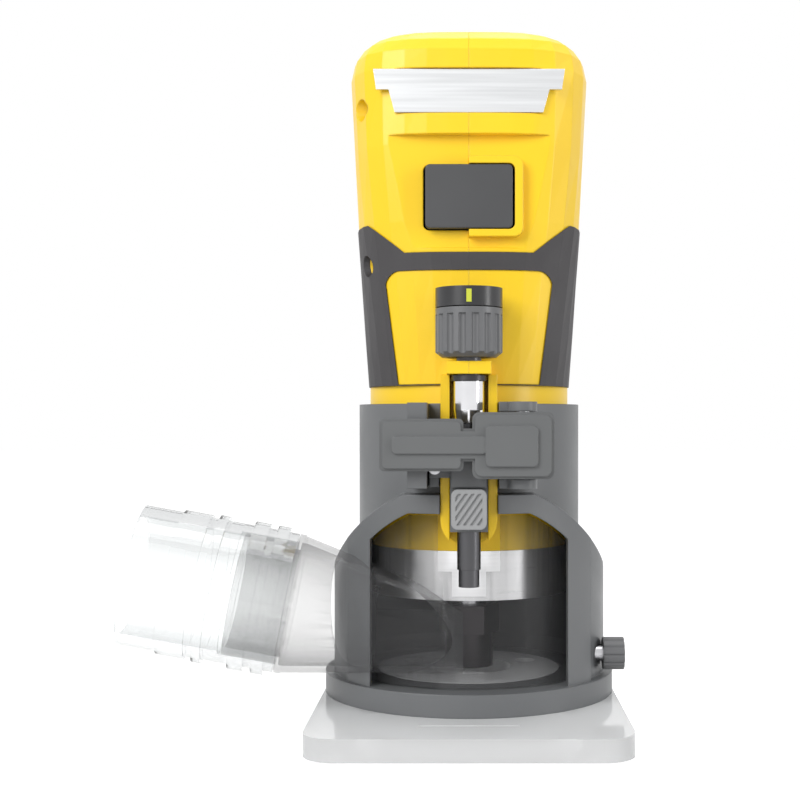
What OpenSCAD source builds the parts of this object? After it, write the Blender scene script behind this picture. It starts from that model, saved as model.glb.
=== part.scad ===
// Cordless trim router: a motor unit that slides on a depth screw in a clamped base with a dust shroud.
// +Z is up and -Y is the front. The origin is the centre of the bit opening, on the sole.

/* [Sole plate] */
// Width of the clear sole plate
sole_w = 100; // [98:1:130]
// Distance from the spindle axis to the plate's front edge
sole_front = 76; // [62:1:100]
// Thickness of the plate
sole_t = 7; // [5:0.5:10]
// Radius of the plate's front corners
sole_corner_r = 10; // [4:1:20]
// Diameter of the opening for the cutter
bit_opening_d = 30; // [22:0.5:36]
// Diameter of the hub that centres the plate in the base
hub_d = 63; // [50:1:64]

/* [Base casting] */
// Diameter of the flange ring
flange_d = 100; // [98:1:130]
// Height of the flange ring
flange_h = 7.4; // [5:0.2:12]
// Outer diameter of the tub round the window
tub_d = 94; // [92:1:96]
// Wall of the tub
tub_wall = 4; // [3:0.5:6]
// Wall of the sleeve that clamps the motor
sleeve_wall = 3.7; // [3:0.1:5]
// Height of the sleeve's top above the sole
sleeve_top = 106; // [100:1:108]
// Height of the arch's flat top above the sole
arch_top = 77; // [74:1:79]
// Half width of the window at its foot
window_half_w = 32; // [26:1:34]
// Width of the slot that splits the sleeve
slot_w = 18.4; // [17.6:0.2:20]

/* [Motor unit] */
// Diameter of the motor barrel
barrel_d = 69; // [66:0.5:71]
// Height of the nose's lower face, with the motor at rest
nose_bottom = 41.8; // [40:0.2:44]
// Height of the nose ring
nose_h = 16.2; // [14:0.2:17]
// Height of the grip's lower edge
grip_bottom = 112; // [111.5:0.5:113]
// Height of the grip's upper edge at the sides
grip_top = 165; // [160:1:168]
// Height of the head's top
head_top = 228; // [220:1:245]
// Width of the head
head_w = 81; // [78:0.5:88]
// Distance from the axis to the back of the head
head_back = 46; // [42:1:54]
// Wall of the housing halves
housing_wall = 2.6; // [2:0.1:3.2]
// Thickness of the rubber on the grip
rubber_t = 1.6; // [1:0.1:2]

/* [Depth screw] */
// Distance from the spindle axis forward to the depth screw
screw_y = 46.5; // [46:0.5:48]
// Diameter of the depth screw
screw_d = 7.5; // [6:0.1:8]
// Diameter of the depth knob
knob_d = 21.2; // [18:0.2:22]
// Height of the depth knob without its scale ring
knob_h = 15.4; // [12:0.2:16]
// Height of the scale ring
ring_h = 6.1; // [4:0.1:8]
// Width of the release button
button_w = 11; // [9:0.5:11.5]
// Travel of the release button
button_travel = 3; // [2:0.5:3]

/* [Clamp lever] */
// Sideways distance from the slot's middle to the lever pin
pin_x = 16.6; // [16.2:0.2:18]
// Distance from the spindle axis forward to the lever pin
pin_y = 53.4; // [53.2:0.2:55]
// Diameter of the lever pin
pin_d = 4.4; // [3:0.2:5]

/* [Dust port] */
// Outer diameter of the chute's port
port_d = 45.4; // [40:0.2:48]
// Bore of the hose adapter, for the end of a vacuum hose
hose_d = 38.4; // [32:0.2:40]
// Length of the hose adapter
adapter_len = 51; // [40:1:60]
// Upward tilt of the port
port_tilt = 11; // [5:1:16]
// Forward turn of the port
port_yaw = 4; // [0:1:8]

/* [Spindle] */
// Bore of the collet
collet_bore = 6.35; // [6:0.05:8]
// Diameter of the collet nut's skirt
nut_d = 16.8; // [15:0.2:19]

/* [Hidden] */
$fn = 48;

slide_gap = 0.1;
run_gap = 0.05;
loose_gap = 0.3;
barrel_r = barrel_d / 2;
sleeve_r = barrel_r + slide_gap + sleeve_wall;
tub_r = tub_d / 2;
cavity_r = tub_r - tub_wall;
flange_top = sole_t + flange_h;
nose_top = nose_bottom + nose_h;
collar_bottom = grip_bottom + 3;
knob_bottom = grip_bottom + 8.3;
ring_bottom = knob_bottom + knob_h + 0.3;
ring_top = ring_bottom + ring_h;
screw_r = screw_d / 2;
bearing_r = 11;
shaft_r = 6;
tail_r = 4;
arch_z = 30.5;
shoulder_r = tub_r + 3.9;
arch_back_y = 8;
carriage_back = barrel_r + 1.7;
carriage_top = sleeve_top - 12.5;
button_z = 66.8;
button_h = 12.4;
yoke_half_w = button_w / 2 - 0.6;
port_pos = [-58, -34, 41];
mouth_pos = [-2, -27, 29];
mouth_r = 12;
spigot_len = 18;
thumb_y = 18;
thumb_z = 22;
board_half_w = 29;
switch_z = 172.8;
rocker_w = 28.2;
rocker_h = 20.5;
sole_screw_at = [[-31, -34], [31, -34], [-31, 31], [31, 31]];
housing_screw_at = [[-27, 203], [33, 203], [-22, 152], [30, 150], [24, 122]];

// A tube that stands on the XY plane
module tube(outer_r, inner_r, height) {
    difference() {
        cylinder(r = outer_r, h = height);
        translate([0, 0, -1]) cylinder(r = inner_r, h = height + 2);
    }
}

// A rectangle with round corners, centred
module rounded_rect(w, h, r) {
    square([w, h - 2 * r], center = true);
    square([w - 2 * r, h], center = true);
    for (x = [-1, 1], y = [-1, 1])
        translate([x * (w / 2 - r), y * (h / 2 - r)]) circle(r = r);
}

// Extrudes an outline drawn in X and Z between two depths, from_y in front of to_y
module front_extrude(from_y, to_y) {
    translate([0, to_y, 0]) rotate([90, 0, 0]) linear_extrude(to_y - from_y) children();
}

// Places what is built along +Z on the axis of the dust port
module along_port() {
    translate(port_pos) rotate([0, 0, port_yaw]) rotate([0, port_tilt - 90, 0]) children();
}

// A headed machine screw that points down, with its head's underside at the origin
module cap_screw(shank_r, length, head_r, head_h) {
    translate([0, 0, -length]) cylinder(r = shank_r, h = length);
    difference() {
        cylinder(r = head_r, h = head_h);
        translate([0, 0, head_h / 2]) cylinder(r = head_r * 0.5, h = head_h, $fn = 6);
    }
}

// ---------------------------------------------------------------- sole plate

module sole_outline() {
    front_w = sole_w - 2 * sole_corner_r;
    circle(d = sole_w);
    translate([-sole_w / 2, -sole_front + sole_corner_r]) square([sole_w, sole_front - sole_corner_r]);
    translate([-front_w / 2, -sole_front]) square([front_w, sole_corner_r]);
    for (x = [-1, 1])
        translate([x * front_w / 2, -sole_front + sole_corner_r]) circle(r = sole_corner_r);
}

module sole_plate() {
    color([0.93, 0.95, 0.97, 0.6])
    difference() {
        union() {
            linear_extrude(sole_t) sole_outline();
            cylinder(d = hub_d, h = flange_top);
        }
        translate([0, 0, -1]) cylinder(d = bit_opening_d, h = flange_top + 2);
        for (p = sole_screw_at) translate([p.x, p.y, 0]) {
            translate([0, 0, -1]) cylinder(r = 2.3, h = sole_t + 2);
            translate([0, 0, -1]) cylinder(r = 5, h = 4.6);
        }
        for (p = [[-20, 11], [20, 11]]) translate([p.x, p.y, 0]) {
            translate([0, 0, -1]) cylinder(r = 2.2, h = flange_top + 2);
            translate([0, 0, flange_top - 1.6]) cylinder(r1 = 2.2, r2 = 4.2, h = 2);
        }
        translate([0, -59, sole_t - 0.5]) linear_extrude(1) square([31, 1.2], center = true);
    }
}

module sole_screws() {
    color("dimgray")
    for (p = sole_screw_at) translate([p.x, p.y, 3.6])
        rotate([180, 0, 0]) cap_screw(2.0, 3.4 + 5.5, 4.2, 2.6);
}

// ---------------------------------------------------------------- base casting

// The arch of the tub seen from the front: upright sides, a round shoulder and a flat top
module arch_outline(inset) {
    intersection() {
        translate([0, arch_z]) circle(r = shoulder_r - inset);
        translate([-tub_r + inset, -20]) square([2 * (tub_r - inset), arch_top - inset + 20]);
    }
}

module window_outline() {
    intersection() {
        arch_outline(6);
        translate([-window_half_w, flange_top]) square([2 * window_half_w, arch_top]);
    }
}

// A pair of plates that carry the lever pin, one above and one below the lever
module fork_plate(z) {
    translate([0, 0, z]) {
        translate([pin_x, -pin_y, 0]) cylinder(r = 4.6, h = 3);
        translate([slot_w / 2 + 0.2, -pin_y, 0]) cube([pin_x + 4.6 - slot_w / 2 - 0.2, pin_y - 28, 3]);
    }
}

module base_casting() {
    ledge_x = slot_w / 2 + 0.2;
    color("gray")
    difference() {
        union() {
            translate([0, 0, 50]) cylinder(r = sleeve_r, h = sleeve_top - 50);
            translate([0, 0, sole_t]) cylinder(d = flange_d, h = flange_h);
            intersection() {
                translate([0, 0, sole_t]) cylinder(r = tub_r, h = arch_top - sole_t);
                union() {
                    front_extrude(-60, -arch_back_y) arch_outline(0);
                    translate([0, 0, arch_z]) sphere(r = shoulder_r, $fn = 96);
                }
            }
            intersection() {
                translate([0, 0, sole_t]) cylinder(r = tub_r + 1.6, h = 80);
                front_extrude(-60, -27) difference() {
                    arch_outline(0);
                    window_outline();
                }
            }
            // ears of the clamp
            fork_plate(79.3);
            fork_plate(103.3);
            translate([-19, -57, 79.5]) cube([6, 26, sleeve_top - 79.5]);
            // ledges that carry the depth carriage
            for (x = [-12.4, ledge_x]) translate([x, -47.4, 79.5])
                cube([12.4 - ledge_x, 16, carriage_top - 79.5]);
        }
        translate([0, 0, 40]) cylinder(r = barrel_r + slide_gap, h = 80);
        intersection() {
            translate([0, 0, flange_top]) cylinder(r = cavity_r, h = 80);
            union() {
                front_extrude(-60, -arch_back_y - 2) arch_outline(6.5);
                translate([0, 0, arch_z]) sphere(r = shoulder_r - 6.5, $fn = 96);
            }
        }
        translate([0, 0, sole_t - 1]) cylinder(d = hub_d + 1, h = flange_h + 2);
        front_extrude(-60, -5) window_outline();
        translate([-slot_w / 2, -70, 55]) cube([slot_w, 50, 60]);
        translate([pin_x, -pin_y, 70]) cylinder(d = pin_d, h = 50);
        translate([-30, -pin_y, 91.5]) rotate([0, 90, 0]) cylinder(r = 2.45, h = 20);
        translate([cavity_r - 9, -thumb_y, thumb_z]) rotate([0, 90, 0]) cylinder(r = 2.5 + run_gap, h = 20);
        // flat seat of the thumb knob
        translate([tub_r - 1.95, -thumb_y, thumb_z]) rotate([0, 90, 0]) cylinder(r = 6.2, h = 12);
        for (p = sole_screw_at) translate([p.x, p.y, sole_t - 1]) cylinder(r = 2.0, h = 6.6);
        for (x = [-1, 1]) translate([x * 10.7, -50, 85.5]) rotate([-90, 0, 0]) cylinder(r = 1.25, h = 10);
    }
}

// ---------------------------------------------------------------- clamp

module tie_bolt() {
    color("silver")
    difference() {
        union() {
            translate([pin_x, -pin_y, 88.8]) cylinder(r = 4.1, h = 5.4);
            translate([-24, -pin_y, 91.5]) rotate([0, 90, 0]) cylinder(r = 2.4, h = 24 + pin_x - 3);
        }
        translate([pin_x, -pin_y, 80]) cylinder(d = pin_d, h = 30);
    }
}

module tie_nut() {
    color("silver")
    translate([-22.6, -pin_y, 91.5]) rotate([0, 90, 0]) difference() {
        cylinder(r = 4.6, h = 3.6, $fn = 6);
        translate([0, 0, -1]) cylinder(r = 2.4, h = 6);
    }
}

module lever_pin() {
    color("silver")
    translate([pin_x, -pin_y, 79.3]) cylinder(d = pin_d, h = 27);
}

// The lever seen from the front: a wide cam block, a neck and a narrower arm
module lever_outline(inset) {
    offset_w = 26 - inset;
    translate([(offset_w + 1 + inset) / 2, 92.8])
        rounded_rect(offset_w - 1 - inset, 20.4 - 2 * inset, 2.2);
    translate([-14.5, 93]) rounded_rect(25.6 - 2 * inset, 16 - 2 * inset, 1.4);
    translate([-4, 88 + inset]) square([8, 10 - 2 * inset]);
}

module clamp_lever() {
    back_y = -pin_y - 4.8;
    color([0.42, 0.43, 0.44])
    difference() {
        union() {
            front_extrude(back_y - 3.4, back_y) lever_outline(0);
            front_extrude(back_y - 4.4, back_y - 3) lever_outline(0.8);
            // raised pad on the block and raised rib along the arm
            front_extrude(back_y - 5.4, back_y - 4) translate([13, 92.6]) rounded_rect(16, 12.4, 1.5);
            front_extrude(back_y - 5.2, back_y - 4) translate([-9, 93]) rounded_rect(29, 5.4, 1.4);
            // knuckles round the pin, below and above the tie bolt's eye
            for (k = [[82.7, 5.8], [94.6, 8.3]]) translate([pin_x, -pin_y, k[0]]) {
                cylinder(r = 4.1, h = k[1]);
                translate([-3.4, -5.2, 0]) cube([6.8, 4, k[1]]);
            }
        }
        translate([pin_x, -pin_y, 70]) cylinder(r = pin_d / 2 + run_gap, h = 50);
    }
}

// ---------------------------------------------------------------- dust shroud

module chute_form(inset) {
    hull() {
        along_port() translate([0, 0, -1.5]) cylinder(r = port_d / 2 - 0.4 - inset, h = 1.5, $fn = 32);
        translate(mouth_pos) rotate([0, -90, 0]) cylinder(r = mouth_r - inset, h = 1, $fn = 32);
    }
}

module shroud_sector(r) {
    polygon([[0, 12], [r * cos(-22), r * sin(-22) + 12], [r, -r], [-r, -r], [-r * cos(-22), r * sin(-22) + 12]]);
}

module dust_shroud() {
    shell_r = cavity_r - 0.4;
    wall = 2.2;
    color([0.55, 0.55, 0.58, 0.4])
    difference() {
        union() {
            intersection() {
                translate([0, 0, flange_top + loose_gap]) tube(shell_r, shell_r - wall, 55.5);
                linear_extrude(90) shroud_sector(60);
                front_extrude(-60, -arch_back_y - 2.6) arch_outline(7);
            }
            difference() {
                chute_form(0);
                difference() {
                    translate([0, 0, -5]) cylinder(r = tub_r + 2.1, h = 100);
                    front_extrude(-70, -10) intersection() {
                        translate([-window_half_w + 0.5, flange_top + 0.5])
                            square([2 * window_half_w - 1, 60]);
                        arch_outline(7);
                    }
                }
            }
            // spigot that the adapter turns on, with its stop collar
            along_port() cylinder(r = hose_d / 2 + 0.8, h = spigot_len);
            along_port() translate([0, 0, -1]) cylinder(d = port_d, h = 2);
        }
        difference() {
            chute_form(wall);
            translate([-80, -10, 0]) cube([48, 60, 80]);
        }
        along_port() translate([0, 0, -3]) cylinder(r = hose_d / 2 - 1.6, h = spigot_len + 10);
        // room for the spindle, the nose, the trough and the depth screw over their travel
        cylinder(r = nut_d / 2 + 5, h = 80);
        translate([0, 0, nose_bottom - 5.5]) cylinder(r = barrel_r + 0.5, h = 60);
        translate([-10, -60, 52]) cube([20, 30, 40]);
        translate([-5.5, -60, 44]) cube([11, 20, 20]);
        translate([20, -thumb_y, thumb_z]) rotate([0, 90, 0]) cylinder(r = 2.5 + run_gap, h = 30);
    }
}

module hose_adapter() {
    bore_r = hose_d / 2;
    color([0.9, 0.92, 0.94, 0.4])
    along_port() translate([0, 0, 1 + loose_gap]) difference() {
        union() {
            cylinder(d = port_d, h = adapter_len - 1);
            translate([0, 0, 3]) cylinder(r = port_d / 2 + 1.4, h = 4);
            translate([0, 0, 9.5]) cylinder(r = port_d / 2 + 1.4, h = 5);
            translate([0, 0, 23]) cylinder(r = port_d / 2 + 1.3, h = 3);
            translate([0, 0, 28.5]) cylinder(r = port_d / 2 + 0.8, h = 9);
        }
        translate([0, 0, -1]) cylinder(r = bore_r + 0.8 + slide_gap, h = spigot_len + 1);
        translate([0, 0, spigot_len - 0.5]) cylinder(r = bore_r, h = adapter_len);
    }
}

module thumb_knob() {
    color([0.36, 0.37, 0.38])
    translate([tub_r + 0.3 - 2.2, -thumb_y, thumb_z]) rotate([0, 90, 0]) difference() {
        cylinder(r = 5.4, h = 7);
        for (a = [0:30:359]) rotate([0, 0, a]) translate([5.7, 0, -1]) cylinder(r = 0.7, h = 9);
        translate([0, 0, -1]) cylinder(r = 2.5, h = 6);
    }
}

module thumb_stud() {
    color("silver")
    translate([cavity_r - 9, -thumb_y, thumb_z]) rotate([0, 90, 0]) cylinder(r = 2.5, h = 16);
}

// ---------------------------------------------------------------- depth carriage and release button

module depth_carriage() {
    front_low = screw_y + screw_r + 0.7;
    front_high = front_low + 2.6;
    channel_bottom = button_z + 0.9;
    channel_h = button_h - 2.2;
    color([0.45, 0.46, 0.47])
    difference() {
        union() {
            translate([-5.9, -front_low, 65.6]) cube([11.8, front_low - carriage_back, carriage_top - 65.6]);
            translate([-5.5, -front_high, button_z + button_h + 0.4])
                cube([11, 5, 88.4 - button_z - button_h - 0.4]);
            translate([-12.4, -50.4, 82.5]) cube([24.8, 3, carriage_top - 82.5]);
        }
        translate([0, -screw_y, 60]) cylinder(r = screw_r + run_gap, h = 40);
        translate([-yoke_half_w - 0.1, -70, channel_bottom]) cube([2 * yoke_half_w + 0.2, 70 - 37.7, channel_h]);
        translate([0, -38.6, channel_bottom + channel_h / 2]) rotate([-90, 0, 0]) cylinder(r = 1.9, h = 1.7);
        for (x = [-1, 1]) translate([x * 10.7, -60, 85.5]) rotate([-90, 0, 0]) cylinder(r = 1.3, h = 20);
    }
}

module carriage_screws() {
    color("silver")
    for (x = [-1, 1]) translate([x * 10.7, -50.4, 85.5]) rotate([90, 0, 0]) cap_screw(1.25, 9, 1.9, 1.4);
}

// The button's face and the yoke that holds the half nut against the back of the screw
module release_button() {
    face_back = screw_y + screw_r + 0.7 + button_travel + 0.3;
    yoke_z = button_z + 1.1;
    yoke_h = button_h - 2.6;
    yoke_back = screw_y - screw_r - 2;
    color([0.72, 0.73, 0.74])
    difference() {
        union() {
            front_extrude(-face_back - 2.8, -face_back) translate([0, button_z + button_h / 2])
                rounded_rect(button_w, button_h, 2);
            translate([-yoke_half_w, -face_back - 0.5, yoke_z])
                cube([2 * yoke_half_w, face_back + 0.5 - yoke_back, yoke_h]);
        }
        hull() for (y = [0, button_travel + 0.2])
            translate([0, -screw_y - y, 60]) cylinder(r = screw_r + run_gap, h = 30, $fn = 32);
        translate([0, -yoke_back - 1.2, yoke_z + yoke_h / 2]) rotate([-90, 0, 0]) cylinder(r = 1.9, h = 3);
        // diagonal finger grooves on the face
        intersection() {
            translate([-button_w / 2 + 1.4, -face_back - 3, button_z + 1.4])
                cube([button_w - 2.8, 0.7, button_h - 2.8]);
            for (k = [-4:4]) translate([k * 2.1, -face_back - 3, button_z + button_h / 2])
                rotate([0, 35, 0]) cube([0.8, 2, 30], center = true);
        }
    }
}

module button_spring() {
    color("silver")
    translate([0, -41.7, button_z + button_h / 2 - 0.1]) rotate([-90, 0, 0]) tube(1.6, 1.1, 4.8);
}

// ---------------------------------------------------------------- housing

// Half width, front and back reach and squareness of the housing at height z
function edge_inset(z, r) = z > head_top - r ? r - sqrt(max(0, r * r - pow(z - head_top + r, 2))) : 0;
function half_w(z) = lookup(z, [[grip_bottom, barrel_r], [grip_top, head_w / 2 - 2.5], [head_top - 13, head_w / 2]]);
function reach_front(z) = lookup(z, [[grip_bottom, barrel_r], [150, 36], [grip_top, 37.4], [190, 38.4], [head_top, 38]]);
function reach_back(z) = lookup(z, [[grip_bottom, barrel_r], [140, 36], [grip_top, 42], [185, head_back]]);
function squareness(z) = lookup(z, [[grip_bottom, 2.2], [150, 2.9], [grip_top, 3.2], [200, 3.8]]);

function section_point(z, a, grow) =
    let (
        w = half_w(z) + grow - edge_inset(z - grow, 13),
        f = reach_front(z) + grow - edge_inset(z - grow, 9),
        b = reach_back(z) + grow - edge_inset(z - grow, 9),
        n = squareness(z),
        d = (f + b) / 2,
        r = 1 / pow(pow(abs(cos(a)) / w, n) + pow(abs(sin(a)) / d, n), 1 / n)
    )
    [r * cos(a), r * sin(a) + (b - f) / 2, z];

// A closed skin through sections of the housing at the given heights
module loft(heights, grow, sides) {
    rings = len(heights);
    points = [for (z = heights, i = [0:sides - 1]) section_point(z, i * 360 / sides, grow)];
    quads = [
        for (k = [0:rings - 2], i = [0:sides - 1])
            let (j = (i + 1) % sides)
            for (t = [[k * sides + i, k * sides + j, (k + 1) * sides + j], [k * sides + i, (k + 1) * sides + j, (k + 1) * sides + i]])
                [t[2], t[1], t[0]]
    ];
    floor_face = [for (i = [0:sides - 1]) i];
    roof_face = [for (i = [sides - 1:-1:0]) (rings - 1) * sides + i];
    polyhedron(points, concat(quads, [floor_face, roof_face]));
}

function head_heights(top_trim) = [
    grip_bottom, 130, 150, grip_top, 190, head_top - 13,
    for (a = [25, 45, 62, 76]) head_top - 13 + 13 * sin(a),
    head_top - top_trim
];

// Front outline of the yellow that stands above the rubber, and of the lower control panel
module upper_outline() {
    polygon([[-21, 155], [21, 155], [33.5, grip_top], [60, grip_top], [60, 240], [-60, 240], [-60, grip_top], [-33.5, grip_top]]);
}

module panel_outline() {
    intersection() {
        polygon([[-23.2, grip_bottom - 1], [23.2, grip_bottom - 1], [28, 150], [-28, 150]]);
        translate([0, 130.8]) rounded_rect(55, 37, 5);
    }
}

module skin_zone() {
    front_extrude(-80, 0) {
        upper_outline();
        panel_outline();
    }
    translate([-60, 0, grip_top]) cube([120, 80, 80]);
}

module housing_form() {
    translate([0, 0, nose_top]) cylinder(r = barrel_r, h = grip_bottom - nose_top);
    loft([grip_bottom - 3, grip_bottom, 130, 150, grip_top, grip_top + 4], -rubber_t, 40);
    intersection() {
        loft(head_heights(0.4), 0, 40);
        skin_zone();
    }
    // trough that houses the depth screw, and the collar that holds its journal
    difference() {
        translate([0, -screw_y, 0]) union() {
            translate([-9, 0, nose_top + 2 + 9]) cube([18, 20, grip_bottom - nose_top - 8]);
            translate([0, 20, nose_top + 2 + 9]) rotate([90, 0, 0]) cylinder(r = 9, h = 20);
        }
        translate([-6.1, -60, nose_top - 4]) cube([12.2, 60 - carriage_back + 0.4, grip_bottom - nose_top + 20]);
    }
    translate([-7, -screw_y - 6.5, collar_bottom]) cube([14, 24, 4]);
}

module housing_solid() {
    difference() {
        housing_form();
        translate([0, 0, nose_top - 1]) cylinder(r = barrel_r - housing_wall, h = 109 - nose_top + 1);
        translate([0, 0, 100]) cylinder(r = 9.5 + run_gap, h = 17);
        difference() {
            loft([117, 150, 190, head_top - 15, head_top - housing_wall - 2], -housing_wall - rubber_t, 24);
            for (p = housing_screw_at) translate([0, p.x, p.y]) rotate([0, 90, 0]) {
                translate([0, 0, -60]) cylinder(r = 5.6, h = 33);
                translate([0, 0, -60]) cylinder(r = 3.4, h = 120);
            }
            // rails that hold the controller board by its edges
            for (x = [-40, board_half_w + 0.3]) translate([x, 19.8, 156]) cube([40 - board_half_w - 0.3, 6, 56]);
        }
        translate([-15.1, 30, 157.9]) cube([30.2, 14, 30.2]);
        // journal, knob bay and the recessed panels
        translate([0, -screw_y, 90]) cylinder(r = 4 + run_gap, h = 30);
        translate([0, -screw_y, knob_bottom - 1.3]) cylinder(d = knob_d + 2.4, h = ring_top - knob_bottom + 3);
        front_extrude(-60, -35.2) intersection() {
            translate([0, 174]) rounded_rect(67, 38, 7);
            polygon([[-21, 156.4], [21, 156.4], [34, 166], [34, 194], [-34, 194], [-34, 166]]);
        }
        front_extrude(-60, -36.2) badge_outline(0.3);
        front_extrude(-60, -20) translate([0, switch_z]) rounded_rect(rocker_w + 1.5, rocker_h + 0.8, 2);
        // screw pockets on the left and screw holes
        for (p = housing_screw_at) translate([0, p.x, p.y]) rotate([0, -90, 0]) {
            translate([0, 0, 29]) cylinder(r = 3.6, h = 30);
            translate([0, 0, -20]) cylinder(r = 1.75, h = 60);
        }
        // pocket of the battery dock
        translate([-29.3, 41, 148]) cube([58.6, 20, 76]);
    }
    switch_guard();
}

// Ridge on the housing round the right half of the switch
module switch_guard() {
    front_extrude(-38.6, -34) difference() {
        translate([5, switch_z]) rounded_rect(25, 26, 3);
        translate([0, switch_z]) rounded_rect(rocker_w + 1.5, rocker_h + 0.8, 2);
        translate([-20, switch_z - 20]) square([20, 40]);
    }
}

module housing_left() {
    color("gold")
    intersection() {
        housing_solid();
        translate([-100, -100, 0]) cube([100, 200, 300]);
    }
}

module housing_right() {
    color("gold")
    intersection() {
        housing_solid();
        translate([0, -100, 0]) cube([100, 200, 300]);
    }
}

module grip_solid() {
    difference() {
        loft([grip_bottom, 130, 150, grip_top], 0.4, 40);
        loft([grip_bottom - 1, grip_bottom, 130, 150, grip_top, grip_top + 1], -rubber_t, 40);
        front_extrude(-80, 0) {
            translate([0, 0]) upper_outline();
            panel_outline();
        }
        for (p = housing_screw_at) translate([-20, p.x, p.y]) rotate([0, -90, 0]) cylinder(r = 3.6, h = 40);
        translate([-29.3, 41, 148]) cube([58.6, 20, 76]);
        translate([-15.1, 30, 157.9]) cube([30.2, 14, 30.2]);
    }
}

module grip_left() {
    color([0.16, 0.16, 0.17])
    intersection() {
        grip_solid();
        translate([-100, -100, 0]) cube([100, 200, 300]);
    }
}

module grip_right() {
    color([0.16, 0.16, 0.17])
    intersection() {
        grip_solid();
        translate([0, -100, 0]) cube([100, 200, 300]);
    }
}

module badge_outline(grow) {
    polygon([
        [-31 - grow, 214 + grow], [31 + grow, 214 + grow], [30 + grow, 207.4 - grow], [26 + grow, 207.4 - grow],
        [24 + grow, 200 - grow], [-24 - grow, 200 - grow], [-26 - grow, 207.4 - grow], [-30 - grow, 207.4 - grow]
    ]);
}

module badge_plate() {
    color([0.78, 0.79, 0.8])
    front_extrude(-37.4, -36.2) badge_outline(0);
}

module housing_screws() {
    color("dimgray")
    for (p = housing_screw_at) translate([-29, p.x, p.y]) rotate([0, -90, 0]) cap_screw(1.7, 46, 3, 2);
}

// ---------------------------------------------------------------- motor

module motor_nose() {
    color([0.8, 0.81, 0.82])
    difference() {
        translate([0, 0, nose_bottom]) union() {
            cylinder(r = barrel_r, h = nose_h);
            translate([0, 0, nose_h]) cylinder(r = barrel_r - housing_wall - 0.1, h = 1.6);
        }
        translate([0, 0, nose_bottom + 9]) cylinder(r = barrel_r - 5, h = 12);
        translate([0, 0, nose_bottom - 1]) cylinder(r = shaft_r + 1.2, h = 20);
        translate([0, 0, nose_bottom + 3]) cylinder(r = bearing_r, h = 12);
        // air slots
        for (a = [0:30:359]) rotate([0, 0, a]) translate([18, -2, nose_bottom - 1]) cube([9, 4, 12]);
        for (a = [45:90:359]) rotate([0, 0, a]) translate([15.5, 0, nose_bottom - 1]) cylinder(r = 1.3, h = 12);
    }
}

module nose_screws() {
    color("dimgray")
    for (a = [45:90:359]) rotate([0, 0, a]) translate([15.5, 0, nose_bottom + 9])
        cap_screw(1.3, 8, 2.4, 1.6);
}

module ball_bearing(z, outer_r, inner_r, height) {
    translate([0, 0, z]) {
        tube(outer_r, outer_r - 1.6, height);
        tube(inner_r + 1.4, inner_r, height);
        translate([0, 0, 0.8]) tube(outer_r - 1.6, inner_r + 1.4, height - 1.6);
    }
}

module front_bearing() {
    color("silver") ball_bearing(nose_bottom + 3, bearing_r, shaft_r + run_gap, 9);
}

module rear_bearing() {
    color("silver") ball_bearing(109.4, 9.5, tail_r + run_gap, 7);
}

module stator_core() {
    stator_r = barrel_r - housing_wall - 0.1;
    color([0.5, 0.5, 0.52])
    translate([0, 0, 76]) difference() {
        tube(stator_r, 14.6, 26);
        for (a = [30:60:359]) rotate([0, 0, a]) translate([16, -4.6, -1]) cube([9.4, 9.2, 28]);
        for (a = [30:60:359]) rotate([0, 0, a]) translate([14, -1.2, -1]) cube([4, 2.4, 28]);
    }
}

module windings() {
    color([0.72, 0.42, 0.2])
    for (z = [71.5, 102]) translate([0, 0, z]) tube(26, 17, z > 90 ? 5.5 : 4.5);
}

module controller_board() {
    color([0.1, 0.35, 0.2])
    translate([-board_half_w, 22, 156]) cube([2 * board_half_w, 1.6, 50]);
}

module capacitors() {
    color([0.15, 0.15, 0.2])
    for (x = [-14, 0, 14]) translate([x, 22, 200]) rotate([90, 0, 0]) cylinder(r = 5, h = 14);
}

module switch_unit() {
    color([0.12, 0.12, 0.13])
    difference() {
        translate([-13, -27.6, switch_z - 9.2]) cube([26, 16, 18.4]);
        translate([-13.5, -30, switch_z - 8]) cube([27, 3.6, 16]);
    }
}

module switch_rocker() {
    pivot_y = -30;
    color([0.4, 0.4, 0.42])
    difference() {
        union() {
            front_extrude(-38.4, -31) translate([0, switch_z]) rounded_rect(rocker_w, rocker_h, 1.5);
            translate([0, pivot_y, switch_z - 7.6]) cylinder(r = 2.2, h = 15.2);
            translate([-1.6, pivot_y - 2, switch_z - 7.6]) cube([3.2, 2, 15.2]);
        }
        // shallow slope at the right end
        translate([14.1, -40.2, switch_z]) rotate([0, 0, 24]) cube([12, 3.2, 30], center = true);
    }
}

module battery_dock() {
    color([0.14, 0.14, 0.15])
    difference() {
        union() {
            translate([-29, 41.3, 148.3]) cube([58, 5, 75.4]);
            for (x = [-29, 23]) translate([x, 41.3, 148.3]) cube([6, 13, 70]);
            for (x = [-29, 19]) translate([x, 51.3, 148.3]) cube([10, 3, 70]);
            translate([-29, 41.3, 148.3]) cube([58, 13, 4]);
        }
        translate([-15, 40, 158]) cube([30, 10, 30]);
    }
}

module terminal_block() {
    color([0.2, 0.2, 0.22]) translate([-14.8, 34, 158.2]) cube([29.6, 12, 29.6]);
    color("silver")
    for (x = [-10, -5, 0, 5, 10]) translate([x - 0.4, 46, 162]) cube([0.8, 3.6, 22]);
}

// ---------------------------------------------------------------- depth screw

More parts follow.
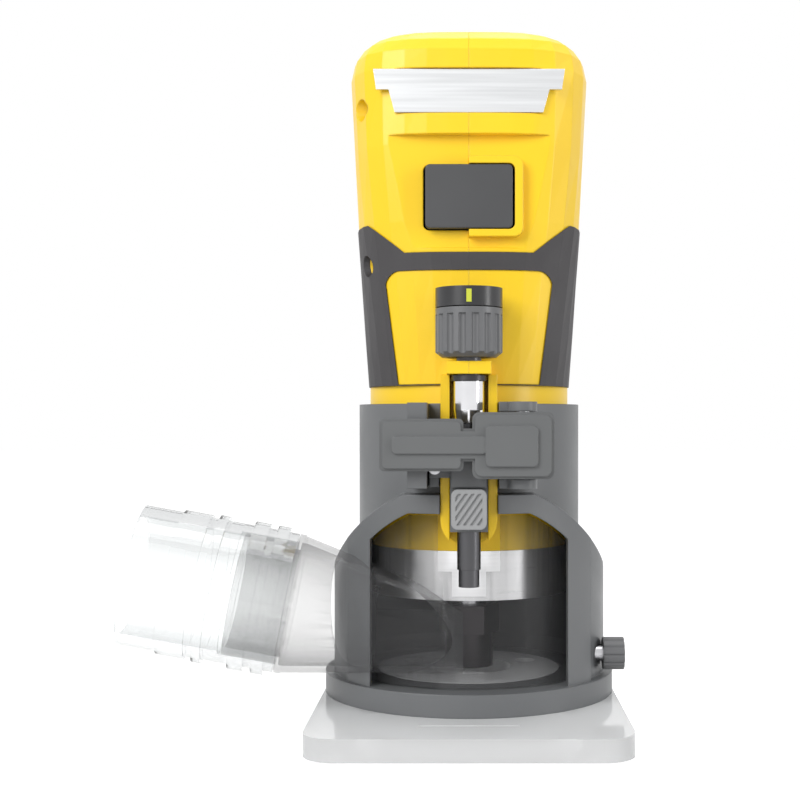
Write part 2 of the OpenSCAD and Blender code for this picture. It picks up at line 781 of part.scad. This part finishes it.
module depth_knob() {
    grip_r = knob_d / 2;
    color([0.45, 0.45, 0.46])
    translate([0, -screw_y, knob_bottom]) difference() {
        union() {
            translate([0, 0, 1.6]) cylinder(r = grip_r, h = knob_h - 1.6);
            cylinder(r1 = grip_r - 2, r2 = grip_r, h = 1.6);
            cylinder(r = grip_r - 2, h = knob_h + 0.3 + ring_h);
        }
        for (a = [0:22.5:359]) rotate([0, 0, a + 11.25]) translate([grip_r + 0.5, 0, -1])
            cylinder(r = 1.3, h = knob_h - 1);
        translate([0, 0, -1]) cylinder(r = 4, h = knob_h - 1);
    }
}

module depth_screw() {
    color([0.25, 0.25, 0.26])
    translate([0, -screw_y, 0]) {
        translate([0, 0, 53.5]) cylinder(r = screw_r, h = 100 - 53.5);
        translate([0, 0, 48]) cylinder(r = screw_r - 0.45, h = 5.5);
        translate([0, 0, 100]) cylinder(r = 4, h = knob_bottom + knob_h - 2 - 100);
    }
}

module screw_sleeve() {
    color([0.75, 0.76, 0.77])
    translate([0, -screw_y, 99.7]) difference() {
        union() {
            translate([0, 0, 4]) cylinder(r = 5, h = 9.1);
            cylinder(r1 = 4.5, r2 = 5, h = 4);
        }
        translate([0, 0, -1]) cylinder(r = screw_r, h = 1.3);
        translate([0, 0, 0.3]) cylinder(r = 4, h = 20);
    }
}

module retaining_ring() {
    color([0.1, 0.1, 0.1])
    translate([0, -screw_y, 112.9]) difference() {
        cylinder(r = 5.6, h = 1.8);
        translate([0, 0, -1]) cylinder(r = 4, h = 4);
    }
}

module scale_ring() {
    ring_r = knob_d / 2;
    color([0.2, 0.2, 0.21])
    translate([0, -screw_y, ring_bottom]) difference() {
        tube(ring_r, ring_r - 2 + run_gap, ring_h);
        translate([0, -ring_r, ring_h / 2]) cube([1.6, 1.2, 4], center = true);
    }
}

module index_mark() {
    color([0.85, 0.9, 0.2])
    translate([0, -screw_y - knob_d / 2 + 0.3, ring_bottom + ring_h / 2]) cube([1.6, 0.6, 4], center = true);
}

// ---------------------------------------------------------------- spindle

module spindle_shaft() {
    color("silver")
    difference() {
        union() {
            translate([0, 0, 27]) cylinder(r = shaft_r, h = 103 - 27);
            translate([0, 0, 103]) cylinder(r = tail_r, h = 118 - 103);
            translate([0, 0, 38.2]) cylinder(r = shaft_r + 1, h = nose_bottom + 2.8 - 38.2);
        }
        translate([0, 0, 26]) cylinder(r = 4.6, h = 12);
        for (s = [-1, 1]) translate([s * 8.5, 0, 39.8]) cube([5, 20, 3.2], center = true);
    }
}

module collet() {
    color([0.6, 0.6, 0.62])
    difference() {
        union() {
            translate([0, 0, 15.5]) cylinder(r1 = 5.4, r2 = 4.55, h = 6);
            translate([0, 0, 21.5]) cylinder(r = 4.55, h = 14.5);
        }
        translate([0, 0, 10]) cylinder(d = collet_bore, h = 40);
        for (a = [45, 135]) rotate([0, 0, a]) translate([-10, -0.3, 10]) cube([20, 0.6, 14]);
    }
}

module collet_nut() {
    color([0.22, 0.2, 0.21])
    difference() {
        union() {
            translate([0, 0, 15]) cylinder(d = nut_d, h = 11.7);
            translate([0, 0, 26.7]) cylinder(r = 10.6, h = 9.8, $fn = 6);
        }
        translate([0, 0, 26]) cylinder(r = shaft_r + run_gap, h = 20);
        translate([0, 0, 21.3]) cylinder(r = 4.7, h = 6);
        translate([0, 0, 15.2]) cylinder(r1 = 5.6, r2 = 4.7, h = 6.2);
        translate([0, 0, 14]) cylinder(r = 4.8, h = 1.3);
    }
}

module rotor_core() {
    color([0.55, 0.55, 0.57])
    translate([0, 0, 76]) tube(11.5, shaft_r, 26);
}

module rotor_magnets() {
    color([0.3, 0.3, 0.33])
    translate([0, 0, 76.5]) difference() {
        tube(14, 11.5 + run_gap, 25);
        for (a = [0:45:179]) rotate([0, 0, a]) translate([-20, -0.4, -1]) cube([40, 0.8, 27]);
    }
}

module fan() {
    color([0.13, 0.13, 0.14])
    translate([0, 0, 61.2]) {
        tube(9, shaft_r, 8);
        tube(29, shaft_r, 1.5);
        for (a = [0:24:359]) rotate([0, 0, a]) translate([12, -0.6, 1]) cube([16.5, 1.2, 6]);
    }
}

sole_plate();
sole_screws();
base_casting();
tie_bolt();
tie_nut();
lever_pin();
clamp_lever();
dust_shroud();
hose_adapter();
thumb_knob();
thumb_stud();
depth_carriage();
carriage_screws();
release_button();
button_spring();
housing_left();
housing_right();
grip_left();
grip_right();
badge_plate();
housing_screws();
motor_nose();
nose_screws();
front_bearing();
rear_bearing();
stator_core();
windings();
controller_board();
capacitors();
switch_unit();
switch_rocker();
battery_dock();
terminal_block();
depth_knob();
depth_screw();
screw_sleeve();
retaining_ring();
scale_ring();
index_mark();
spindle_shaft();
rotor_core();
rotor_magnets();
fan();
collet();
collet_nut();
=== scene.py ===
import math

import bpy
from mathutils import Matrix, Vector


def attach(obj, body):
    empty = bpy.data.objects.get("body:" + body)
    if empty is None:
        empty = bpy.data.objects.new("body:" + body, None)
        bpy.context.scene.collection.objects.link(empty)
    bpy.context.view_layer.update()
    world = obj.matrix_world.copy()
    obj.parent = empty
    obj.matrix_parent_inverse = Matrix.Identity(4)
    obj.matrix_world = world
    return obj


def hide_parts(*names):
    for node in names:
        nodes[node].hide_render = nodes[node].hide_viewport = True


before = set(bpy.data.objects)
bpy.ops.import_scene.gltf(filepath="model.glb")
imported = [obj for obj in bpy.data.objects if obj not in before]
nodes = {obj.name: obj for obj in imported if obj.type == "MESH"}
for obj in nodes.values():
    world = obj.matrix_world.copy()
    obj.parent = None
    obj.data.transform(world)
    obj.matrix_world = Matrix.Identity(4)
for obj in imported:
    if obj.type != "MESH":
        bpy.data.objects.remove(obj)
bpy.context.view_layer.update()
scene = bpy.context.scene
bpy.ops.object.select_all(action="DESELECT")

# ---- Camera: level, straight in front of the spindle at the height of the clamp sleeve.
camera_data = bpy.data.cameras.new("front_camera")
camera_data.lens = 58.5
camera_data.sensor_width = 36
camera_data.shift_x = -0.0862
camera_data.shift_y = 0.0275
camera_data.clip_start = 0.01
camera = bpy.data.objects.new("front_camera", camera_data)
camera.location = (0, -0.457, 0.1)
camera.rotation_euler = (math.pi / 2, 0, 0)
scene.collection.objects.link(camera)
scene.camera = camera

# ---- Studio: white room, a large soft lamp from the left and above, a weaker one from the right.
scene.view_settings.view_transform = "Standard"
world = bpy.data.worlds.new("white_room")
world.use_nodes = True
scene.world = world
room = world.node_tree
background = room.nodes["Background"]
room_path = room.nodes.new("ShaderNodeLightPath")
seen = room.nodes.new("ShaderNodeMath")
seen.operation = "MAXIMUM"
room.links.new(room_path.outputs["Is Camera Ray"], seen.inputs[0])
room.links.new(room_path.outputs["Is Transmission Ray"], seen.inputs[1])
seen_all = room.nodes.new("ShaderNodeMath")
seen_all.operation = "MAXIMUM"
room.links.new(seen.outputs[0], seen_all.inputs[0])
room.links.new(room_path.outputs["Is Glossy Ray"], seen_all.inputs[1])
room_level = room.nodes.new("ShaderNodeMapRange")
room_level.inputs["To Min"].default_value = 0.55
room_level.inputs["To Max"].default_value = 1.0
room.links.new(seen_all.outputs[0], room_level.inputs["Value"])
background.inputs["Color"].default_value = (1, 1, 1, 1)
room.links.new(room_level.outputs["Result"], background.inputs["Strength"])


def studio_lamp(name, place, aim, width, height, watts):
    lamp_data = bpy.data.lights.new(name, "AREA")
    lamp_data.shape = "RECTANGLE"
    lamp_data.size = width
    lamp_data.size_y = height
    lamp_data.energy = watts
    lamp = bpy.data.objects.new(name, lamp_data)
    lamp.location = place
    lamp.rotation_euler = (Vector(aim) - Vector(place)).to_track_quat("-Z", "Y").to_euler()
    scene.collection.objects.link(lamp)


studio_lamp("key_lamp", (-0.55, -0.75, 0.6), (0, 0, 0.12), 0.5, 0.6, 7.0)
studio_lamp("side_lamp", (0.75, -0.35, 0.3), (0, 0, 0.1), 0.12, 0.7, 2.5)
studio_lamp("top_lamp", (0.0, 0.1, 0.9), (0, 0, 0.1), 0.5, 0.5, 2.5)

# ---- Floor: matt white board that the router stands on.
bpy.ops.mesh.primitive_plane_add(size=8, location=(0, 0, -0.0003))
floor = bpy.context.object
floor.name = "floor"
board = bpy.data.materials.new("white_board")
board.use_nodes = True
board_nodes, board_links = board.node_tree.nodes, board.node_tree.links
board_nodes.clear()
board_out = board_nodes.new("ShaderNodeOutputMaterial")
board_matt = board_nodes.new("ShaderNodeBsdfDiffuse")
board_matt.inputs["Color"].default_value = (0.5, 0.5, 0.5, 1)
board_glow = board_nodes.new("ShaderNodeEmission")
board_sum = board_nodes.new("ShaderNodeAddShader")
board_path = board_nodes.new("ShaderNodeLightPath")
board_seen = board_nodes.new("ShaderNodeMath")
board_seen.operation = "MAXIMUM"
board_seen_all = board_nodes.new("ShaderNodeMath")
board_seen_all.operation = "MAXIMUM"
board_level = board_nodes.new("ShaderNodeMath")
board_level.operation = "MULTIPLY"
board_level.inputs[1].default_value = 0.78
board_links.new(board_path.outputs["Is Camera Ray"], board_seen.inputs[0])
board_links.new(board_path.outputs["Is Glossy Ray"], board_seen.inputs[1])
board_links.new(board_seen.outputs[0], board_seen_all.inputs[0])
board_links.new(board_path.outputs["Is Transmission Ray"], board_seen_all.inputs[1])
board_links.new(board_seen_all.outputs[0], board_level.inputs[0])
board_links.new(board_level.outputs[0], board_glow.inputs["Strength"])
board_links.new(board_matt.outputs[0], board_sum.inputs[0])
board_links.new(board_glow.outputs[0], board_sum.inputs[1])
board_links.new(board_sum.outputs[0], board_out.inputs["Surface"])
floor.data.materials.append(board)

# ---- Housing halves: moulded glass-filled nylon, yellow, satin with a very fine eroded texture.


def start_group(name, numbers, colours=(), out_kind="NodeSocketFloat", out_name="Value"):
    """A node group with Object coordinates inside, its number and colour inputs, and one output."""
    group = bpy.data.node_groups.new(name, "ShaderNodeTree")
    for colour in colours:
        group.interface.new_socket(colour, in_out="INPUT", socket_type="NodeSocketColor")
    for number in numbers:
        group.interface.new_socket(number, in_out="INPUT", socket_type="NodeSocketFloat")
    group.interface.new_socket(out_name, in_out="OUTPUT", socket_type=out_kind)
    return group, group.nodes.new("NodeGroupInput"), group.nodes.new("NodeGroupOutput"), group.nodes.new("ShaderNodeTexCoord")


# Fine eroded mould texture: a height in two grain sizes
mould_grain, given, put, place = start_group("mould_grain", ["Scale", "Coarse"])
grain_fine = mould_grain.nodes.new("ShaderNodeTexNoise")
grain_fine.inputs["Detail"].default_value = 3
grain_wide = mould_grain.nodes.new("ShaderNodeTexNoise")
grain_wide.inputs["Scale"].default_value = 45
grain_sum = mould_grain.nodes.new("ShaderNodeMath")
grain_sum.operation = "MULTIPLY_ADD"
mould_grain.links.new(place.outputs["Object"], grain_fine.inputs["Vector"])
mould_grain.links.new(place.outputs["Object"], grain_wide.inputs["Vector"])
mould_grain.links.new(given.outputs["Scale"], grain_fine.inputs["Scale"])
mould_grain.links.new(grain_wide.outputs["Fac"], grain_sum.inputs[0])
mould_grain.links.new(given.outputs["Coarse"], grain_sum.inputs[1])
mould_grain.links.new(grain_fine.outputs["Fac"], grain_sum.inputs[2])
mould_grain.links.new(grain_sum.outputs[0], put.inputs[0])

# Slow change of tone over a moulding, between two colours
tone_drift, given, put, place = start_group(
    "tone_drift", ["Scale"], ["Colour", "Other Colour"], "NodeSocketColor", "Colour")
drift_noise = tone_drift.nodes.new("ShaderNodeTexNoise")
drift_noise.inputs["Detail"].default_value = 2
drift_range = tone_drift.nodes.new("ShaderNodeMapRange")
drift_range.inputs["From Min"].default_value = 0.3
drift_range.inputs["From Max"].default_value = 0.7
drift_mix = tone_drift.nodes.new("ShaderNodeMix")
drift_mix.data_type = "RGBA"
tone_drift.links.new(place.outputs["Object"], drift_noise.inputs["Vector"])
tone_drift.links.new(given.outputs["Scale"], drift_noise.inputs["Scale"])
tone_drift.links.new(drift_noise.outputs["Fac"], drift_range.inputs["Value"])
tone_drift.links.new(drift_range.outputs["Result"], drift_mix.inputs["Factor"])
tone_drift.links.new(given.outputs["Colour"], drift_mix.inputs["A"])
tone_drift.links.new(given.outputs["Other Colour"], drift_mix.inputs["B"])
tone_drift.links.new(drift_mix.outputs["Result"], put.inputs[0])

# Handling marks: a roughness between two levels
handling, given, put, place = start_group("handling", ["Low", "High", "Scale"])
hand_noise = handling.nodes.new("ShaderNodeTexNoise")
hand_noise.inputs["Detail"].default_value = 4
hand_noise.inputs["Roughness"].default_value = 0.6
hand_range = handling.nodes.new("ShaderNodeMapRange")
hand_range.inputs["From Min"].default_value = 0.35
hand_range.inputs["From Max"].default_value = 0.65
handling.links.new(place.outputs["Object"], hand_noise.inputs["Vector"])
handling.links.new(given.outputs["Scale"], hand_noise.inputs["Scale"])
handling.links.new(hand_noise.outputs["Fac"], hand_range.inputs["Value"])
handling.links.new(given.outputs["Low"], hand_range.inputs["To Min"])
handling.links.new(given.outputs["High"], hand_range.inputs["To Max"])
handling.links.new(hand_range.outputs["Result"], put.inputs[0])


def put_group(material, group, **values):
    """Places a node group in a material and sets its inputs."""
    box = material.node_tree.nodes.new("ShaderNodeGroup")
    box.node_tree = group
    for key, value in values.items():
        socket = box.inputs[key.replace("_", " ")]
        socket.default_value = (*value, 1) if isinstance(value, tuple) else value
    return box


def plastic(name, colour, other, rough, grain=900, coarse=0.3, depth=0.00003, edge=0.0003):
    """Moulded or painted surface: drifting colour, handling marks, fine grain and slightly rounded edges."""
    material = bpy.data.materials.new(name)
    material.use_nodes = True
    made, links = material.node_tree.nodes, material.node_tree.links
    surface = made["Principled BSDF"]
    tone = put_group(material, tone_drift, Colour=colour, Other_Colour=other, Scale=30)
    marks = put_group(material, handling, Low=rough - 0.05, High=rough + 0.07, Scale=35)
    height = put_group(material, mould_grain, Scale=grain, Coarse=coarse)
    bump = made.new("ShaderNodeBump")
    bump.inputs["Strength"].default_value = 0.6
    bump.inputs["Distance"].default_value = depth
    links.new(tone.outputs[0], surface.inputs["Base Color"])
    links.new(marks.outputs[0], surface.inputs["Roughness"])
    links.new(height.outputs[0], bump.inputs["Height"])
    if edge:
        rounding = made.new("ShaderNodeBevel")
        rounding.samples = 4
        rounding.inputs["Radius"].default_value = edge
        links.new(rounding.outputs["Normal"], bump.inputs["Normal"])
    links.new(bump.outputs["Normal"], surface.inputs["Normal"])
    return material


def finish_nodes(material, *names):
    """Gives CAD nodes their finish."""
    for name in names:
        for place_in in nodes[name].material_slots:
            place_in.material = material


yellow_nylon = plastic("yellow_nylon", (1.0, 0.665, 0.012), (0.97, 0.63, 0.01), 0.34, edge=0.0007)
finish_nodes(yellow_nylon, "housing_left", "housing_right")

# ---- Grips: soft charcoal rubber moulded over the waist of both halves, matt, with a fine pebble.
grip_rubber = plastic("grip_rubber", (0.05, 0.047, 0.05), (0.042, 0.04, 0.042), 0.62, 1500, 0.2, 0.00006)
finish_nodes(grip_rubber, "grip_left", "grip_right")

# ---- Badge plate: thin brushed aluminium, stuck into its recess on the brow, bare.


def metal(name, colour, rough, stretch=(1, 1, 1), scale=60):
    """Bare metal: fine lines along one direction, with the roughness following them."""
    material = bpy.data.materials.new(name)
    material.use_nodes = True
    made, links = material.node_tree.nodes, material.node_tree.links
    surface = made["Principled BSDF"]
    surface.inputs["Metallic"].default_value = 1.0
    place_in = made.new("ShaderNodeTexCoord")
    spread = made.new("ShaderNodeMapping")
    spread.inputs["Scale"].default_value = stretch
    lines = made.new("ShaderNodeTexNoise")
    lines.inputs["Scale"].default_value = scale
    lines.inputs["Detail"].default_value = 6
    level = made.new("ShaderNodeMapRange")
    level.inputs["To Min"].default_value = rough - 0.08
    level.inputs["To Max"].default_value = rough + 0.1
    shade = made.new("ShaderNodeMix")
    shade.data_type = "RGBA"
    shade.inputs["A"].default_value = (*(c * 0.88 for c in colour), 1)
    shade.inputs["B"].default_value = (*(min(1, c * 1.08) for c in colour), 1)
    bump = made.new("ShaderNodeBump")
    bump.inputs["Strength"].default_value = 0.5
    bump.inputs["Distance"].default_value = 0.00001
    links.new(place_in.outputs["Object"], spread.inputs["Vector"])
    links.new(spread.outputs["Vector"], lines.inputs["Vector"])
    links.new(lines.outputs["Fac"], level.inputs["Value"])
    links.new(level.outputs["Result"], surface.inputs["Roughness"])
    links.new(lines.outputs["Fac"], shade.inputs["Factor"])
    links.new(shade.outputs["Result"], surface.inputs["Base Color"])
    links.new(lines.outputs["Fac"], bump.inputs["Height"])
    rounding = made.new("ShaderNodeBevel")
    rounding.samples = 4
    rounding.inputs["Radius"].default_value = 0.0002
    links.new(rounding.outputs["Normal"], bump.inputs["Normal"])
    links.new(bump.outputs["Normal"], surface.inputs["Normal"])
    return material


brushed_aluminium = metal("brushed_aluminium", (0.72, 0.73, 0.74), 0.32, (1, 40, 40), 25)
finish_nodes(brushed_aluminium, "badge_plate")

# ---- Motor nose: turned aluminium ring under the barrel, with its bearing seat.
turned_aluminium = metal("turned_aluminium", (0.74, 0.74, 0.75), 0.3, (2, 2, 60), 20)
finish_nodes(turned_aluminium, "motor_nose")

# ---- Base casting, depth carriage: cast aluminium under a grey powder coat, fine and even.
powder_coat = plastic("powder_coat", (0.145, 0.15, 0.155), (0.13, 0.135, 0.14), 0.42, 700, 0.4, 0.00005, 0.0006)
finish_nodes(powder_coat, "base_casting", "depth_carriage")

# ---- Clamp lever: moulded in a darker grey nylon round its steel hinge.
lever_nylon = plastic("lever_nylon", (0.13, 0.135, 0.137), (0.12, 0.124, 0.126), 0.38, 800, 0.3, 0.00003, 0.0006)
finish_nodes(lever_nylon, "clamp_lever")

# ---- Small steel: zinc-plated bolt, nut, pin, stud, spring and screws, blackened cap screws.
zinc = metal("zinc", (0.6, 0.6, 0.62), 0.3)
finish_nodes(zinc, "tie_bolt", "tie_nut", "lever_pin", "thumb_stud", "button_spring", "carriage_screws")
black_oxide = metal("black_oxide", (0.06, 0.058, 0.06), 0.36)
finish_nodes(black_oxide, "sole_screws", "housing_screws", "nose_screws", "retaining_ring")

# ---- Depth screw: blackened thread with a bright sleeve under the knob.
screw_steel = metal("screw_steel", (0.09, 0.09, 0.095), 0.3)
finish_nodes(screw_steel, "depth_screw")
chrome = metal("chrome", (0.82, 0.82, 0.84), 0.14)
finish_nodes(chrome, "screw_sleeve")

# ---- Depth knob and its scale ring: ribbed dark grey nylon, a satin black ring that turns on it.
knob_nylon = plastic("knob_nylon", (0.14, 0.142, 0.147), (0.12, 0.122, 0.127), 0.36, 800, 0.3, 0.00002, 0.0004)
finish_nodes(knob_nylon, "depth_knob", "thumb_knob")
ring_nylon = plastic("ring_nylon", (0.025, 0.025, 0.027), (0.02, 0.02, 0.022), 0.3, 900, 0.3, 0.00002, 0.0003)
finish_nodes(ring_nylon, "scale_ring")
index_paint = plastic("index_paint", (0.62, 0.66, 0.06), (0.58, 0.62, 0.05), 0.3, edge=0)
finish_nodes(index_paint, "index_mark")

# ---- Release button: light grey satin nylon.
button_nylon = plastic("button_nylon", (0.33, 0.335, 0.34), (0.3, 0.305, 0.31), 0.4, 900, 0.3, 0.00002, 0.0004)
finish_nodes(button_nylon, "release_button")

# ---- Switch: a dark grey rocker in a black body.
rocker_nylon = plastic("rocker_nylon", (0.062, 0.063, 0.066), (0.055, 0.056, 0.059), 0.4, 900, 0.3, 0.00003, 0.0008)
finish_nodes(rocker_nylon, "switch_rocker")
black_nylon = plastic("black_nylon", (0.02, 0.02, 0.021), (0.016, 0.016, 0.017), 0.45, 900, 0.3, 0.00003, 0.0003)
finish_nodes(black_nylon, "switch_unit", "battery_dock", "terminal_block", "fan")

# ---- Inside of the motor: board, capacitors, steel stator, copper coils, magnets, bearings.
board_green = plastic("board_green", (0.01, 0.09, 0.035), (0.008, 0.07, 0.03), 0.35)
finish_nodes(board_green, "controller_board")
capacitor_sleeve = plastic("capacitor_sleeve", (0.02, 0.02, 0.05), (0.016, 0.016, 0.04), 0.3)
finish_nodes(capacitor_sleeve, "capacitors")
motor_steel = metal("motor_steel", (0.3, 0.3, 0.32), 0.42, (2, 2, 300), 10)
finish_nodes(motor_steel, "stator_core", "rotor_core")
copper = metal("copper", (0.72, 0.3, 0.12), 0.3, (2, 2, 200), 10)
finish_nodes(copper, "windings")
nickel = metal("nickel", (0.5, 0.49, 0.47), 0.25)
finish_nodes(nickel, "rotor_magnets", "front_bearing", "rear_bearing")
ground_steel = metal("ground_steel", (0.5, 0.5, 0.52), 0.24, (2, 2, 80), 15)
finish_nodes(ground_steel, "spindle_shaft", "collet")

# ---- Collet nut: blackened steel.
nut_steel = metal("nut_steel", (0.045, 0.04, 0.043), 0.33)
finish_nodes(nut_steel, "collet_nut")

# ---- Clear and smoky mouldings: polycarbonate sole, hose adapter and dust shroud.


def clear_plastic(name, face, edge, rough, ior, weight):
    """Polycarbonate: clear where it faces the eye and deeper in tone along its edges."""
    material = bpy.data.materials.new(name)
    material.use_nodes = True
    made, links = material.node_tree.nodes, material.node_tree.links
    surface = made["Principled BSDF"]
    surface.inputs["Transmission Weight"].default_value = weight
    surface.inputs["IOR"].default_value = ior
    surface.inputs["Metallic"].default_value = 0.0
    turn = made.new("ShaderNodeLayerWeight")
    turn.inputs["Blend"].default_value = 0.35
    tint = made.new("ShaderNodeMix")
    tint.data_type = "RGBA"
    tint.inputs["A"].default_value = (*face, 1)
    tint.inputs["B"].default_value = (*edge, 1)
    marks = put_group(material, handling, Low=rough, High=rough + 0.03, Scale=25)
    links.new(turn.outputs["Facing"], tint.inputs["Factor"])
    links.new(tint.outputs["Result"], surface.inputs["Base Color"])
    links.new(marks.outputs[0], surface.inputs["Roughness"])
    return material




def smoked(name, colour, thin, thick, rough):
    """Thin tinted wall: its tint closes up towards the edges, where the eye looks along it."""
    material = bpy.data.materials.new(name)
    material.use_nodes = True
    made, links = material.node_tree.nodes, material.node_tree.links
    surface = made["Principled BSDF"]
    surface.inputs["IOR"].default_value = 1.45
    tone = put_group(material, tone_drift, Colour=colour, Other_Colour=tuple(c * 0.8 for c in colour), Scale=20)
    marks = put_group(material, handling, Low=rough, High=rough + 0.06, Scale=25)
    turn = made.new("ShaderNodeLayerWeight")
    turn.inputs["Blend"].default_value = 0.3
    cover = made.new("ShaderNodeMapRange")
    cover.inputs["To Min"].default_value = thin
    cover.inputs["To Max"].default_value = thick
    links.new(tone.outputs[0], surface.inputs["Base Color"])
    links.new(marks.outputs[0], surface.inputs["Roughness"])
    links.new(turn.outputs["Facing"], cover.inputs["Value"])
    links.new(cover.outputs["Result"], surface.inputs["Alpha"])
    return material


smoky_plastic = smoked("smoky_plastic", (0.16, 0.16, 0.165), 0.1, 0.55, 0.06)
def smooth_skin(node, body, finish, angle=32):
    """A copy of a CAD node with its facets merged and shaded smooth across gentle turns."""
    skin = bpy.data.objects.new(f"{node}_skin", nodes[node].data.copy())
    scene.collection.objects.link(skin)
    bpy.ops.object.select_all(action="DESELECT")
    bpy.context.view_layer.objects.active = skin
    skin.select_set(True)
    bpy.ops.object.mode_set(mode="EDIT")
    bpy.ops.mesh.select_all(action="SELECT")
    bpy.ops.mesh.remove_doubles(threshold=0.000002)
    bpy.ops.object.mode_set(mode="OBJECT")
    bpy.ops.object.shade_smooth_by_angle(angle=math.radians(angle))
    skin.data.materials.clear()
    skin.data.materials.append(finish)
    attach(skin, body)
    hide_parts(node)


smooth_skin("dust_shroud", "base", smoky_plastic, 40)
adapter_plastic = clear_plastic("adapter_plastic", (0.97, 0.98, 0.98), (0.35, 0.37, 0.38), 0.0, 1.45, 1.0)
finish_nodes(adapter_plastic, "hose_adapter")
sole_plastic = clear_plastic("sole_plastic", (0.93, 0.935, 0.94), (0.8, 0.81, 0.82), 0.05, 1.35, 0.35)
finish_nodes(sole_plastic, "sole_plate")
